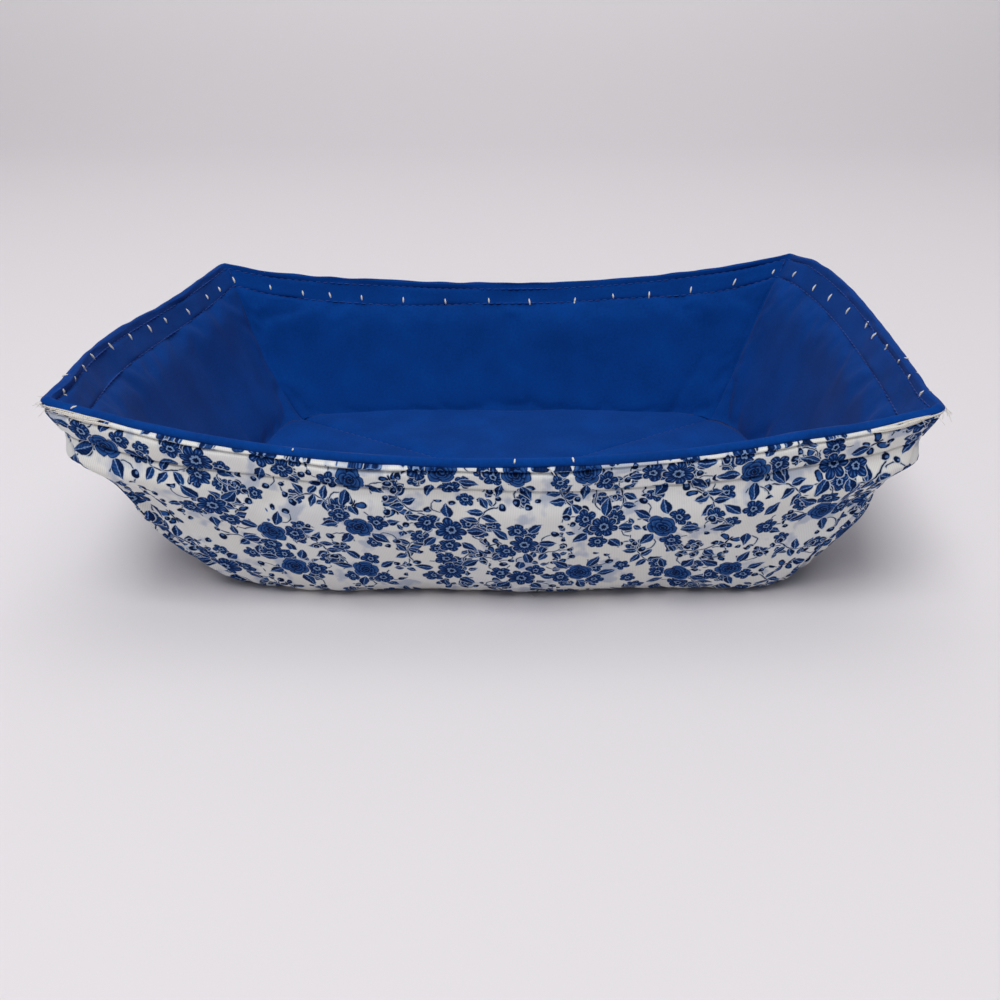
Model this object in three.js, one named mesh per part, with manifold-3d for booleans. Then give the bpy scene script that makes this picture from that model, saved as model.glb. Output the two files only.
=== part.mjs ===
// A padded cotton cozy for an oblong bowl: printed cotton outside, plain cotton inside, two layers of batting
// between them, held together by rows of stitching, with a dart at each corner that lifts the rim into an ear.
import * as THREE from "three";
import Module from "manifold-3d";

const wasm = await Module();
wasm.setup();

// Driving dimensions in millimetres: X along the long side, the front at minus Y, Z up from the table

// Rim, on the outside face at the top edge
const EAR_X = 107;
const EAR_Y = 78.5;
const EAR_HEIGHT = 61.5;
const RIM_BOW_LONG = 7.5;
const RIM_BOW_SHORT = 8.7;
const RIM_SAG_LONG = 13;
const RIM_SAG_SHORT = 3;
const RIM_SAG_POWER = 2.2;
const EAR_CUT = 3;

// Foot, the flat part that stands on the table
const FOOT_X = 80;
const FOOT_Y = 57.5;
const FOOT_BOW_LONG = 4.5;
const FOOT_BOW_SHORT = 8.7;
const FOOT_CUT = 20;

// Belly of the wall, as shares of the way from the foot to the rim
const BELLY_LOW_OUT = 0.16;
const BELLY_HIGH_OUT = 0.7;
const BELLY_HIGH_UP = 0.5;
const BELLY_CUT = 15;

// Layers
const FABRIC = 0.5;
const BATTING = 1.2;
const PLY_GAP = 0.3;
const LOFT = 1.2;

// Stitching
const EDGE_ROW = 2.6;
const BAND_ROW = 8.3;
const ROW_SPREAD = 1.8;
const SEAM_SPREAD = 7;
const THREAD = 0.4;
const LIP_CROWN = 0.9;
const DART_STOP = 0.8;
const QUILT_REACH = 0.92;

// Fineness
const LONG_STEPS = 7;
const SHORT_STEPS = 5;
const STATION_EASE = 1.35;
const WALL_STEPS = 5;
const FOOT_STEPS = 3;
const LIP_STEPS = 4;
const THREAD_SIDES = 6;
const DART_STEPS = 4;

// Derived sizes
const LIP_SEAT = FABRIC + PLY_GAP;
const PACK = 2 * FABRIC + 2 * BATTING + 3 * PLY_GAP;
const DART_RELIEF = THREAD + PLY_GAP;
const WALL_TOP = BAND_ROW + ROW_SPREAD;
const THREAD_STANDOFF = PLY_GAP + THREAD / 2;

const CORNER_NAMES = ["front_left", "front_right", "back_right", "back_left"];
const SIDES = CORNER_NAMES.length;

const mix = THREE.MathUtils.lerp;

const RIM = { x: EAR_X, y: EAR_Y, bowLong: RIM_BOW_LONG, bowShort: RIM_BOW_SHORT, cut: EAR_CUT };
const FOOT = { x: FOOT_X, y: FOOT_Y, bowLong: FOOT_BOW_LONG, bowShort: FOOT_BOW_SHORT, cut: FOOT_CUT };
const BELLY = {
  x: mix(FOOT_X, EAR_X, BELLY_HIGH_OUT),
  y: mix(FOOT_Y, EAR_Y, BELLY_HIGH_OUT),
  bowLong: mix(FOOT_BOW_LONG, RIM_BOW_LONG, BELLY_HIGH_OUT),
  bowShort: mix(FOOT_BOW_SHORT, RIM_BOW_SHORT, BELLY_HIGH_OUT),
  cut: BELLY_CUT,
};

// Plan outlines: four bowed sides, numbered front, right, back and left, with rounded corners

function isLong(side) {
  return side % 2 === 0;
}

function halfSide(side, outline) {
  return isLong(side) ? outline.x : outline.y;
}

function bowedPoint(side, s, outline) {
  const along = halfSide(side, outline) * s;
  const bow = isLong(side) ? outline.bowLong : outline.bowShort;
  const out = halfSide(side + 1, outline) + bow * (1 - s * s);
  const front = new THREE.Vector2(along, -out);
  return front.rotateAround(new THREE.Vector2(), (side * Math.PI) / 2);
}

function outlinePoint({ side, s }, outline) {
  const turn = Math.sign(s);
  const start = 1 - outline.cut / halfSide(side, outline);
  if (Math.abs(s) <= start) {
    return bowedPoint(side, s, outline);
  }
  const neighbour = (side + turn + SIDES) % SIDES;
  const neighbourStart = 1 - outline.cut / halfSide(neighbour, outline);
  const corner = new THREE.QuadraticBezierCurve(
    bowedPoint(side, turn * start, outline),
    bowedPoint(side, turn, outline),
    bowedPoint(neighbour, -turn * neighbourStart, outline),
  );
  const share = (Math.abs(s) - start) / (1 - start);
  return corner.getPoint(share / 2);
}

function rimHeight({ side, s }) {
  if (isLong(side)) {
    return EAR_HEIGHT - RIM_SAG_LONG * (1 - Math.abs(s) ** RIM_SAG_POWER);
  }
  return EAR_HEIGHT - RIM_SAG_SHORT * (1 - s * s);
}

// Columns run round the cozy, closer together towards the corners; each has a curve from the foot to the rim

function station(step, steps) {
  return Math.sign(step) * (1 - (1 - Math.abs(step) / steps) ** STATION_EASE);
}

function wallCurve(column) {
  const foot = outlinePoint(column, FOOT);
  const belly = outlinePoint(column, BELLY);
  const rim = outlinePoint(column, RIM);
  const low = foot.clone().lerp(belly, BELLY_LOW_OUT / BELLY_HIGH_OUT);
  const top = rimHeight(column);
  return new THREE.CubicBezierCurve3(
    new THREE.Vector3(foot.x, foot.y, LOFT),
    new THREE.Vector3(low.x, low.y, LOFT),
    new THREE.Vector3(belly.x, belly.y, mix(LOFT, top, BELLY_HIGH_UP)),
    new THREE.Vector3(rim.x, rim.y, top),
  );
}

const columns = [];
for (let side = 0; side < SIDES; side += 1) {
  const steps = isLong(side) ? LONG_STEPS : SHORT_STEPS;
  for (let step = -steps; step < steps; step += 1) {
    const column = { side, s: station(step, steps), isCorner: step === -steps };
    column.curve = wallCurve(column);
    column.length = column.curve.getLength();
    columns.push(column);
  }
}

const cornerIndices = columns.flatMap((column, index) => (column.isCorner ? [index] : []));

// Levels are rings round the cozy: on the flat foot, or on the wall at a distance below the rim

function withNormals(points, ups, distances) {
  const count = points.length;
  const normals = points.map((point, i) => {
    const before = point.clone().sub(points[(i + count - 1) % count]);
    const after = points[(i + 1) % count].clone().sub(point);
    const first = before.cross(ups[i]).normalize();
    const second = after.cross(ups[i]).normalize();
    const share = 1 + first.dot(second);
    return first.add(second).divideScalar(share);
  });
  return { points, ups, normals, distances };
}

function footLevel(scale) {
  const flat = columns.map((column) => outlinePoint(column, FOOT).multiplyScalar(scale));
  const points = flat.map((point) => new THREE.Vector3(point.x, point.y, LOFT));
  const ups = flat.map((point) => new THREE.Vector3(point.x, point.y, 0).normalize());
  return withNormals(points, ups, columns.map((column) => column.length));
}

function wallLevelAt(distanceOf) {
  const distances = columns.map(distanceOf);
  const shares = columns.map((column, i) => 1 - distances[i] / column.length);
  const points = columns.map((column, i) => column.curve.getPointAt(shares[i]));
  const ups = columns.map((column, i) => column.curve.getTangentAt(shares[i]));
  return withNormals(points, ups, distances);
}

function rowLevel(distance) {
  return wallLevelAt(() => distance);
}

function wallLevel(share) {
  return wallLevelAt((column) => mix(WALL_TOP, column.length, share));
}

const footLevels = [];
for (let step = 1; step < FOOT_STEPS; step += 1) {
  footLevels.push(footLevel(step / FOOT_STEPS));
}
const wallLevels = [];
for (let step = WALL_STEPS; step > 0; step -= 1) {
  wallLevels.push(wallLevel(step / WALL_STEPS));
}
const lowerLevels = [...footLevels, ...wallLevels];
const bandLevels = [
  rowLevel(WALL_TOP),
  rowLevel(BAND_ROW),
  rowLevel(BAND_ROW - ROW_SPREAD),
  rowLevel((BAND_ROW + EDGE_ROW) / 2),
  rowLevel(EDGE_ROW + ROW_SPREAD),
  rowLevel(EDGE_ROW),
  rowLevel((EDGE_ROW + LIP_SEAT) / 2),
];
const seatLevel = rowLevel(LIP_SEAT);
const fabricLevels = [...lowerLevels, ...bandLevels, seatLevel];
const battingLevels = [...lowerLevels, rowLevel(BAND_ROW), rowLevel(EDGE_ROW), seatLevel];

// Padding stands full between the rows and seams and is drawn flat along them

function rowShare(distance) {
  const rows = [EDGE_ROW, BAND_ROW].map((row) => Math.abs(distance - row));
  const gaps = [...rows, distance - LIP_SEAT];
  return gaps.reduce((share, gap) => share * THREE.MathUtils.smoothstep(gap, 0, ROW_SPREAD), 1);
}

function seamDistance(level, i) {
  const point = level.points[i];
  const distances = cornerIndices.map((corner) => {
    const { x, y } = level.points[corner];
    return Math.abs(point.x * y - point.y * x) / Math.hypot(x, y);
  });
  return Math.min(...distances);
}

// The middle of the foot stands for a level of one point; the quilting crosses there and draws it flat
const FOOT_MIDDLE = null;

function loftAt(level, i) {
  if (level === FOOT_MIDDLE) {
    return 0;
  }
  const seamShare = THREE.MathUtils.smoothstep(seamDistance(level, i), 0, SEAM_SPREAD);
  return LOFT * seamShare * rowShare(level.distances[i]);
}

// Rings of points set off from a level along its outward normals

function ring(level, offsetAt) {
  return level.points.map((point, i) => point.clone().addScaledVector(level.normals[i], offsetAt(level, i)));
}

function rings(levels, offsetAt) {
  return levels.map((level) => ring(level, offsetAt));
}

function pole(offset) {
  return [new THREE.Vector3(0, 0, LOFT - offset)];
}

function cornerRelief(i) {
  return columns[i].isCorner ? DART_RELIEF : 0;
}

// A skin joins rings one after another and splits each patch along its shorter diagonal;
// a ring of one point closes an end

function skin(ringList, isLoop = false) {
  const points = ringList.flat();
  const starts = [];
  let total = 0;
  for (const ringPoints of ringList) {
    starts.push(total);
    total += ringPoints.length;
  }
  const vertex = (j, i) => starts[j] + (i % ringList[j].length);
  const indices = [];
  const addPatch = (a, b, c, d) => {
    const isFirstShorter = points[a].distanceTo(points[c]) < points[b].distanceTo(points[d]);
    indices.push(...(isFirstShorter ? [a, b, c, a, c, d] : [a, b, d, b, c, d]));
  };
  const spans = isLoop ? ringList.length : ringList.length - 1;
  for (let j = 0; j < spans; j += 1) {
    const k = (j + 1) % ringList.length;
    const count = Math.max(ringList[j].length, ringList[k].length);
    for (let i = 0; i < count; i += 1) {
      if (ringList[j].length === 1) {
        indices.push(starts[j], vertex(k, i + 1), vertex(k, i));
      } else if (ringList[k].length === 1) {
        indices.push(vertex(j, i), vertex(j, i + 1), starts[k]);
      } else {
        addPatch(vertex(j, i), vertex(j, i + 1), vertex(k, i + 1), vertex(k, i));
      }
    }
  }
  const geometry = new THREE.BufferGeometry().setFromPoints(points);
  geometry.setIndex(indices);
  return geometry;
}

// Layers, from the table side to the bowl side

function layer(levels, outsideAt, insideAt) {
  const outside = rings(levels, outsideAt);
  const inside = rings(levels, insideAt).reverse();
  const poles = [outsideAt, insideAt].map((offsetAt) => pole(offsetAt(FOOT_MIDDLE, cornerIndices[0])));
  return skin([poles[0], ...outside, ...inside, poles[1]]);
}

function outerPanel() {
  return layer(
    fabricLevels,
    loftAt,
    (level, i) => loftAt(level, i) - FABRIC,
  );
}

function outerBatting() {
  const middle = -(LIP_SEAT + BATTING);
  return layer(
    battingLevels,
    (level, i) => loftAt(level, i) - LIP_SEAT - cornerRelief(i),
    () => middle,
  );
}

function liningBatting() {
  const middle = -(LIP_SEAT + BATTING + PLY_GAP);
  return layer(
    battingLevels,
    () => middle,
    (level, i) => LIP_SEAT - PACK + cornerRelief(i) - loftAt(level, i),
  );
}

function lipRing(step) {
  const angle = (Math.PI * step) / LIP_STEPS;
  const inward = (PACK / 2) * (1 - Math.cos(angle));
  const rise = LIP_CROWN * Math.sin(angle);
  const level = rowLevel(0);
  return ring(level, () => -inward).map((point, i) => point.addScaledVector(level.ups[i], rise));
}

function liningPanel() {
  const levels = fabricLevels.slice(0, -1);
  const underLip = rowLevel(FABRIC);
  const hidden = rings(levels, (level, i) => FABRIC - PACK - loftAt(level, i));
  const shown = rings(levels, (level, i) => -PACK - loftAt(level, i));
  const lip = [];
  for (let step = 0; step <= LIP_STEPS; step += 1) {
    lip.push(lipRing(step));
  }
  return skin([
    pole(FABRIC - PACK),
    ...hidden,
    ring(underLip, () => FABRIC - PACK),
    ring(underLip, () => 0),
    ...lip,
    ...shown.reverse(),
    pole(-PACK),
  ]);
}

// Thread: a round section carried along a path, standing just clear of the cloth

function threadRing(point, tangent, normal) {
  const across = normal.clone().projectOnPlane(tangent).normalize();
  const aside = tangent.clone().cross(across);
  const points = [];
  for (let k = 0; k < THREAD_SIDES; k += 1) {
    const angle = (2 * Math.PI * k) / THREAD_SIDES;
    const spot = point.clone();
    spot.addScaledVector(across, (THREAD / 2) * Math.cos(angle));
    spot.addScaledVector(aside, (THREAD / 2) * Math.sin(angle));
    points.push(spot);
  }
  return points;
}

function threadAlong(path, normals, isLoop) {
  const last = path.length - 1;
  const ringList = path.map((point, i) => {
    const before = isLoop ? path[(i + last) % path.length] : path[Math.max(i - 1, 0)];
    const after = isLoop ? path[(i + 1) % path.length] : path[Math.min(i + 1, last)];
    return threadRing(point, after.clone().sub(before).normalize(), normals[i]);
  });
  if (isLoop) {
    return skin(ringList, true);
  }
  return skin([[path[0]], ...ringList, [path[last]]]);
}

function rowThread(distance, offset) {
  const level = rowLevel(distance);
  return threadAlong(ring(level, () => offset), level.normals, true);
}

function dartThread(corner, offset) {
  const levels = [...bandLevels];
  for (let step = 1; step <= DART_STEPS; step += 1) {
    levels.unshift(wallLevel((DART_STOP * step) / DART_STEPS));
  }
  const index = cornerIndices[corner];
  const path = levels.map((level) => level.points[index].clone().addScaledVector(level.normals[index], offset));
  return threadAlong(path, levels.map((level) => level.normals[index]), false);
}

// Quilting: two rows that cross under the middle of the foot, from corner to corner

function toManifold(geometry) {
  const vertProperties = new Float32Array(geometry.getAttribute("position").array);
  const triVerts = new Uint32Array(geometry.getIndex().array);
  return new wasm.Manifold(new wasm.Mesh({ numProp: 3, vertProperties, triVerts }));
}

function fromManifold(solid) {
  const mesh = solid.getMesh();
  const geometry = new THREE.BufferGeometry();
  geometry.setAttribute("position", new THREE.Float32BufferAttribute(mesh.vertProperties, 3));
  geometry.setIndex([...mesh.triVerts]);
  return geometry;
}

function quiltRow(corner, height) {
  const reach = outlinePoint(columns[cornerIndices[corner]], FOOT).multiplyScalar(QUILT_REACH);
  const path = [-1, 1].map((end) => new THREE.Vector3(end * reach.x, end * reach.y, height));
  return threadAlong(path, path.map(() => new THREE.Vector3(0, 0, 1)), false);
}

function quilting(height) {
  const first = toManifold(quiltRow(0, height));
  const second = toManifold(quiltRow(1, height));
  return fromManifold(first.add(second));
}

// Materials

const printedCotton = new THREE.MeshStandardMaterial({ color: 0xaab3c6, roughness: 0.9, metalness: 0 });
const liningCotton = new THREE.MeshStandardMaterial({ color: 0x0a3f93, roughness: 0.85, metalness: 0 });
const cottonBatting = new THREE.MeshStandardMaterial({ color: 0xf0ebdf, roughness: 1, metalness: 0 });
const sewingThread = new THREE.MeshStandardMaterial({ color: 0xf2f0ea, roughness: 0.7, metalness: 0 });
const liningThread = new THREE.MeshStandardMaterial({ color: 0x0a3a86, roughness: 0.7, metalness: 0 });

// Assembly

const cozy = new THREE.Group();

function addPiece(name, geometry, material) {
  geometry.computeVertexNormals();
  const mesh = new THREE.Mesh(geometry, material);
  mesh.name = name;
  cozy.add(mesh);
}

addPiece("outer_panel", outerPanel(), printedCotton);
addPiece("outer_batting", outerBatting(), cottonBatting);
addPiece("lining_batting", liningBatting(), cottonBatting);
addPiece("lining_panel", liningPanel(), liningCotton);
addPiece("edge_row_needle_thread", rowThread(EDGE_ROW, THREAD_STANDOFF), sewingThread);
addPiece("edge_row_bobbin_thread", rowThread(EDGE_ROW, -PACK - THREAD_STANDOFF), liningThread);
addPiece("band_row_needle_thread", rowThread(BAND_ROW, THREAD_STANDOFF), sewingThread);
addPiece("band_row_bobbin_thread", rowThread(BAND_ROW, -PACK - THREAD_STANDOFF), liningThread);
addPiece("outer_quilting_thread", quilting(LOFT - THREAD_STANDOFF), sewingThread);
addPiece("lining_quilting_thread", quilting(LOFT + PACK + THREAD_STANDOFF), liningThread);
CORNER_NAMES.forEach((cornerName, corner) => {
  const outerOffset = -FABRIC - THREAD_STANDOFF;
  const liningOffset = FABRIC - PACK + THREAD_STANDOFF;
  addPiece(`outer_dart_thread_${cornerName}`, dartThread(corner, outerOffset), sewingThread);
  addPiece(`lining_dart_thread_${cornerName}`, dartThread(corner, liningOffset), liningThread);
});

export default cozy;
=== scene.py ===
"""The looks of a padded cotton bowl cozy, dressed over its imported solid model."""

import math
from functools import partialmethod

import bpy
import numpy as np
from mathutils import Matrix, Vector


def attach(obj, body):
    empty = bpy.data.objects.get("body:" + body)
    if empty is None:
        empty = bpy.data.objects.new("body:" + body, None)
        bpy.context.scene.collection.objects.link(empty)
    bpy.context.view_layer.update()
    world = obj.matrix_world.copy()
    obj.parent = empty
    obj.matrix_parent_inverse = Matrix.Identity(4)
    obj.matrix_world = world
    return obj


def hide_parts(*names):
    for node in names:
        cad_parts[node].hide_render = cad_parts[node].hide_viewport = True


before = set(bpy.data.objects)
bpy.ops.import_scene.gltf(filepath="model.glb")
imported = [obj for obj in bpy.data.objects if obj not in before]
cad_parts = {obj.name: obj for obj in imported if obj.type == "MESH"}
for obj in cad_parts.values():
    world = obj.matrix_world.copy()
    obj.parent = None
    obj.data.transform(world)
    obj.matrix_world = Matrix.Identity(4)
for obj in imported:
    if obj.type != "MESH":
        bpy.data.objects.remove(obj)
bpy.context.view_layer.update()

# Sizes in millimetres, in the frame of the solid model: the front faces minus Y

MM = 0.001

# Rim, on the outside face at the top edge
EAR_X = 107.0
EAR_Y = 78.5
EAR_HEIGHT = 61.5
RIM_BOW_LONG = 7.5
RIM_BOW_SHORT = 8.7
RIM_SAG_LONG = 13.0
RIM_SAG_SHORT = 3.0
RIM_SAG_POWER = 2.2
EAR_CUT = 3.0

# Foot, the flat part that stands on the table
FOOT_X = 80.0
FOOT_Y = 57.5
FOOT_BOW_LONG = 4.5
FOOT_BOW_SHORT = 8.7
FOOT_CUT = 20.0

# Belly of the wall, as shares of the way from the foot to the rim
BELLY_LOW_OUT = 0.16
BELLY_HIGH_OUT = 0.7
BELLY_HIGH_UP = 0.5
BELLY_CUT = 15.0

# Layers
FABRIC = 0.5
BATTING = 1.2
PLY_GAP = 0.3
LOFT = 1.2
LIP_SEAT = FABRIC + PLY_GAP
PACK = 2 * FABRIC + 2 * BATTING + 3 * PLY_GAP

# Rim: the layers are pressed thinner there, and the lining shows as a narrow lip behind the printed cloth
RIM_PACK = 2.4
PACK_REACH = 14.0
LIP_CROWN = 0.5
LIP_SET_BACK = 0.3
LIP_LEAN = 0.6
LIP_START = 0.45
PRINT_TOP = 1.05
EAR_PRINT_TOP = 0.3
EAR_PRINT_SPAN = (0.75, 0.95)
LIP_WAVER = 0.25
LIP_WAVER_LENGTH = 11.0
FRAY = 0.12
FRAY_LENGTH = 5.0

# Rows of stitching: a cord of cloth above the edge row, a flatter band below it and then the wall
EDGE_ROW = 2.1
BAND_ROW = 7.6
BAND_WIDER = 2.0
BAND_NARROWEST = -0.2
BAND_WIDENING = (0.2, 0.62)
CORD_LOFT = 0.6
BAND_LOFT = 0.95
BAND_SPREAD = 1.9
BAND_OVERHANG = 0.25
CREASE_DEPTH = 1.15
EDGE_CREASE_WIDTH = 0.3
BAND_CREASE_WIDTH = 0.38
CREASE_POWER = 4
WALL_START = 0.6
WALL_RISE = 8.0
WALL_TOP_DROP = 2.5
LINING_ROW_DEPTH = 0.25
FOOT_SEAM_SPREAD = 7.0
WALL_SEAM_SPREAD = 3.5
DART_STOP = 0.8
QUILT_REACH = 0.92
STITCH_PITCH = 2.7
STITCH_LENGTH = 2.2
THREAD_RADIUS = 0.17

# Slack of the cloth: slow swells, short puckers beside the rows, and folds that run down beside the corners
SWELL = 0.35
SWELL_LENGTH = 40.0
PUCKER = 0.13
PUCKER_LENGTH = 6.5
PUCKER_REACH = 3.5
FOLD_LEFT = 1.4
FOLD_RIGHT = 0.7
FOLD_PITCH = 6.0
FOLD_REACH = 9.0
FOLD_TOP = 14.0
FOLD_WANDER = 1.2

# Beside the corners the wall swells below the band and is drawn in again further down
SHOULDER = 2.4
SHOULDER_DROP = 16.0
SHOULDER_SPREAD = 6.0
SHOULDER_REACH = 22.0
WAIST = 1.2
WAIST_DROP = 31.0

# How it stands: the back and the foot lie a little to the right, and the front right ear droops
RIGHT_OUT = 4.0
RIGHT_UP = 3.0
LEFT_IN = 4.0
LEFT_DOWN = 3.6
FRONT_RIGHT_DOWN = 1.8
FOOT_RIGHT = 4.5
FOOT_RIGHT_POWER = 2.2
EAR_PULL = 1.2

# Where each of these sets in and where it is complete, as shares of the way out to the ears
BACK_SPAN = (-0.5, 0.65)
BACK_EAR_SPAN = (0.72, 0.98)
END_SPAN = (0.3, 1.0)
DROOP_SPAN_X = (0.64, 0.9)
DROOP_SPAN_Y = (0.3, 0.9)
PULL_SPAN_X = (0.85, 1.0)
PULL_SPAN_Y = (0.8, 1.0)

# Fineness
LONG_STEPS = 90
SHORT_STEPS = 65
STATION_EASE = 1.35
WALL_RINGS = 50
FOOT_RINGS = 30
CREASE_RINGS = 10
BAND_RINGS = 14
CORD_RINGS = 9
TUCK_RINGS = 4
LIP_RINGS = 14
CURVE_SAMPLES = 240
QUILT_SAMPLES = 60
DART_SAMPLES = 40

SIDES = 4
TURN = 2 * math.pi

RIM = {"x": EAR_X, "y": EAR_Y, "bow_long": RIM_BOW_LONG, "bow_short": RIM_BOW_SHORT, "cut": EAR_CUT}
FOOT = {"x": FOOT_X, "y": FOOT_Y, "bow_long": FOOT_BOW_LONG, "bow_short": FOOT_BOW_SHORT, "cut": FOOT_CUT}
BELLY = {name: FOOT[name] + (RIM[name] - FOOT[name]) * BELLY_HIGH_OUT for name in RIM}
BELLY["cut"] = BELLY_CUT

# The same outlines with gentler corners: their normals turn slowly, so that no inner layer folds over
SOFT_CUT = 18.0
SOFT_RIM = dict(RIM, cut=SOFT_CUT)
SOFT_BELLY = dict(BELLY, cut=SOFT_CUT)


def smoothstep(value, low, high):
    share = np.clip((value - low) / (high - low), 0, 1)
    return share * share * (3 - 2 * share)


def pillow(gap, spread):
    """How full the padding stands at a gap from a line of stitching: a quarter round, steep at the line."""
    share = np.clip(gap / spread, 0, 1)
    return np.sqrt(1 - (1 - share) ** 2)


def unit(vectors):
    return vectors / np.linalg.norm(vectors, axis=-1, keepdims=True)


WAVE_COUNT = 14
WAVE_SPREAD = (0.7, 1.5)


def waves(points, wavelength, seed):
    """Smooth unevenness with a spread of about one: sine waves in all directions."""
    draw = np.random.default_rng(seed)
    directions = unit(draw.normal(size=(WAVE_COUNT, 3)))
    lengths = wavelength * draw.uniform(*WAVE_SPREAD, WAVE_COUNT)
    phases = draw.uniform(0, TURN, WAVE_COUNT)
    total = np.zeros(points.shape[:-1])
    for direction, length, phase in zip(directions, lengths, phases):
        total += np.sin(points @ direction * (TURN / length) + phase)
    return total / math.sqrt(WAVE_COUNT / 2)


def runs_along(points):
    """Distances along paths of points, from none at the start of each path."""
    steps = np.linalg.norm(np.diff(points, axis=-2), axis=-1)
    start = np.zeros((*steps.shape[:-1], 1))
    return np.concatenate([start, np.cumsum(steps, axis=-1)], -1)


def between(at, places, points):
    """Points read off at places along a path, between the places of its own points."""
    return np.stack([np.interp(at, places, points[:, k]) for k in range(3)], -1)


# Plan outlines: four bowed sides, numbered front, right, back and left, with rounded corners


def half_side(side, outline):
    return np.where(side % 2 == 0, outline["x"], outline["y"])


def bowed_point(side, s, outline):
    bow = np.where(side % 2 == 0, outline["bow_long"], outline["bow_short"])
    along = half_side(side, outline) * s
    out = half_side(side + 1, outline) + bow * (1 - s * s)
    turn = side * math.pi / 2
    x = along * np.cos(turn) + out * np.sin(turn)
    y = along * np.sin(turn) - out * np.cos(turn)
    return np.stack([x, y], -1)


def outline_point(side, s, outline):
    turn = np.sign(s)
    start = 1 - outline["cut"] / half_side(side, outline)
    neighbour = (side + turn.astype(int)) % SIDES
    neighbour_start = 1 - outline["cut"] / half_side(neighbour, outline)
    first = bowed_point(side, turn * start, outline)
    middle = bowed_point(side, turn, outline)
    last = bowed_point(neighbour, -turn * neighbour_start, outline)
    t = np.clip((abs(s) - start) / (1 - start), 0, 1)[:, None] / 2
    corner = (1 - t) ** 2 * first + 2 * t * (1 - t) * middle + t**2 * last
    return np.where((abs(s) <= start)[:, None], bowed_point(side, s, outline), corner)


def rim_height(side, s):
    long_side = EAR_HEIGHT - RIM_SAG_LONG * (1 - abs(s) ** RIM_SAG_POWER)
    short_side = EAR_HEIGHT - RIM_SAG_SHORT * (1 - s * s)
    return np.where(side % 2 == 0, long_side, short_side)


# Columns run round the cozy, closer together towards the corners


def stations():
    sides = []
    places = []
    for side in range(SIDES):
        steps = LONG_STEPS if side % 2 == 0 else SHORT_STEPS
        step = np.arange(-steps, steps)
        sides.append(np.full(2 * steps, side))
        places.append(np.sign(step) * (1 - (1 - abs(step) / steps) ** STATION_EASE))
    return np.concatenate(sides), np.concatenate(places)


SIDE, PLACE = stations()
COLUMNS = len(SIDE)
CORNERS = np.flatnonzero(PLACE == -1)
FOOT_POINTS = outline_point(SIDE, PLACE, FOOT)

# Distances below the rim, column by column: the band is narrowest a little left of the middle of the long
# sides, and at the ears the printed cloth reaches higher

FROM_NARROWEST = np.where(SIDE % 2 == 0, abs(PLACE - BAND_NARROWEST), 1.0)
BAND_ROWS = BAND_ROW + BAND_WIDER * smoothstep(FROM_NARROWEST, *BAND_WIDENING)
PRINT_TOPS = PRINT_TOP + (EAR_PRINT_TOP - PRINT_TOP) * smoothstep(abs(PLACE), *EAR_PRINT_SPAN)
WALL_TOPS = BAND_ROWS + WALL_TOP_DROP


def wall_controls(*outlines):
    foot, belly, rim = (outline_point(SIDE, PLACE, outline) for outline in outlines)
    top = rim_height(SIDE, PLACE)
    low = foot + (belly - foot) * (BELLY_LOW_OUT / BELLY_HIGH_OUT)
    level = np.full(COLUMNS, LOFT)
    belly_height = LOFT + (top - LOFT) * BELLY_HIGH_UP
    plan = np.stack([foot, low, belly, rim], 1)
    heights = np.stack([level, level, belly_height, top], 1)
    return np.concatenate([plan, heights[..., None]], -1)


CONTROLS = wall_controls(FOOT, BELLY, RIM)
SOFT_CONTROLS = wall_controls(FOOT, SOFT_BELLY, SOFT_RIM)


def wall_at(controls, t):
    """Points and slopes of the wall's curves, at one share of each column."""
    t = t[:, None]
    a, b, c, d = (controls[:, k] for k in range(4))
    points = (1 - t) ** 3 * a + 3 * t * (1 - t) ** 2 * b + 3 * t**2 * (1 - t) * c + t**3 * d
    slopes = (1 - t) ** 2 * (b - a) + 2 * t * (1 - t) * (c - b) + t**2 * (d - c)
    return points, unit(slopes)


SAMPLE_SHARES = np.linspace(0, 1, CURVE_SAMPLES)
SAMPLES = np.stack([wall_at(CONTROLS, np.full(COLUMNS, t))[0] for t in SAMPLE_SHARES], 1)
SAMPLE_RUNS = runs_along(SAMPLES)
LENGTHS = SAMPLE_RUNS[:, -1]


def read_off(runs, values):
    """Values sampled along each column's curve, read off at one run up it for each column."""
    after = np.clip((SAMPLE_RUNS < runs[:, None]).sum(axis=1), 1, CURVE_SAMPLES - 1)
    rows = np.arange(COLUMNS)
    low = SAMPLE_RUNS[rows, after - 1]
    high = SAMPLE_RUNS[rows, after]
    share = np.clip((runs - low) / (high - low), 0, 1)
    return values[rows, after - 1] * (1 - share) + values[rows, after] * share


SHARE_ROWS = np.tile(SAMPLE_SHARES, (COLUMNS, 1))

# Levels are rings round the cozy, from the middle of the foot up to the rim


class Level:
    """One ring: its points, the way up along the cloth, the way out, and the distance below the rim."""

    def __init__(self, points, soft_points, ups, distances):
        self.points = points
        self.ups = ups
        self.distances = distances
        self.is_wall = distances < LENGTHS
        around = np.roll(soft_points, -1, axis=0) - np.roll(soft_points, 1, axis=0)
        self.normals = unit(np.cross(around, ups))
        self.seam_gaps = np.min([self.gaps_to(points[corner, :2]) for corner in CORNERS], axis=0)

    def gaps_to(self, line):
        cross = self.points[:, 0] * line[1] - self.points[:, 1] * line[0]
        return abs(cross) / np.linalg.norm(line)

    def offset(self, amount):
        return self.points + self.normals * np.broadcast_to(amount, COLUMNS)[:, None]


def foot_level(scale):
    points = np.column_stack([FOOT_POINTS * scale, np.full(COLUMNS, LOFT)])
    ups = unit(np.column_stack([FOOT_POINTS, np.zeros(COLUMNS)]))
    return Level(points, points, ups, LENGTHS)


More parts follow.
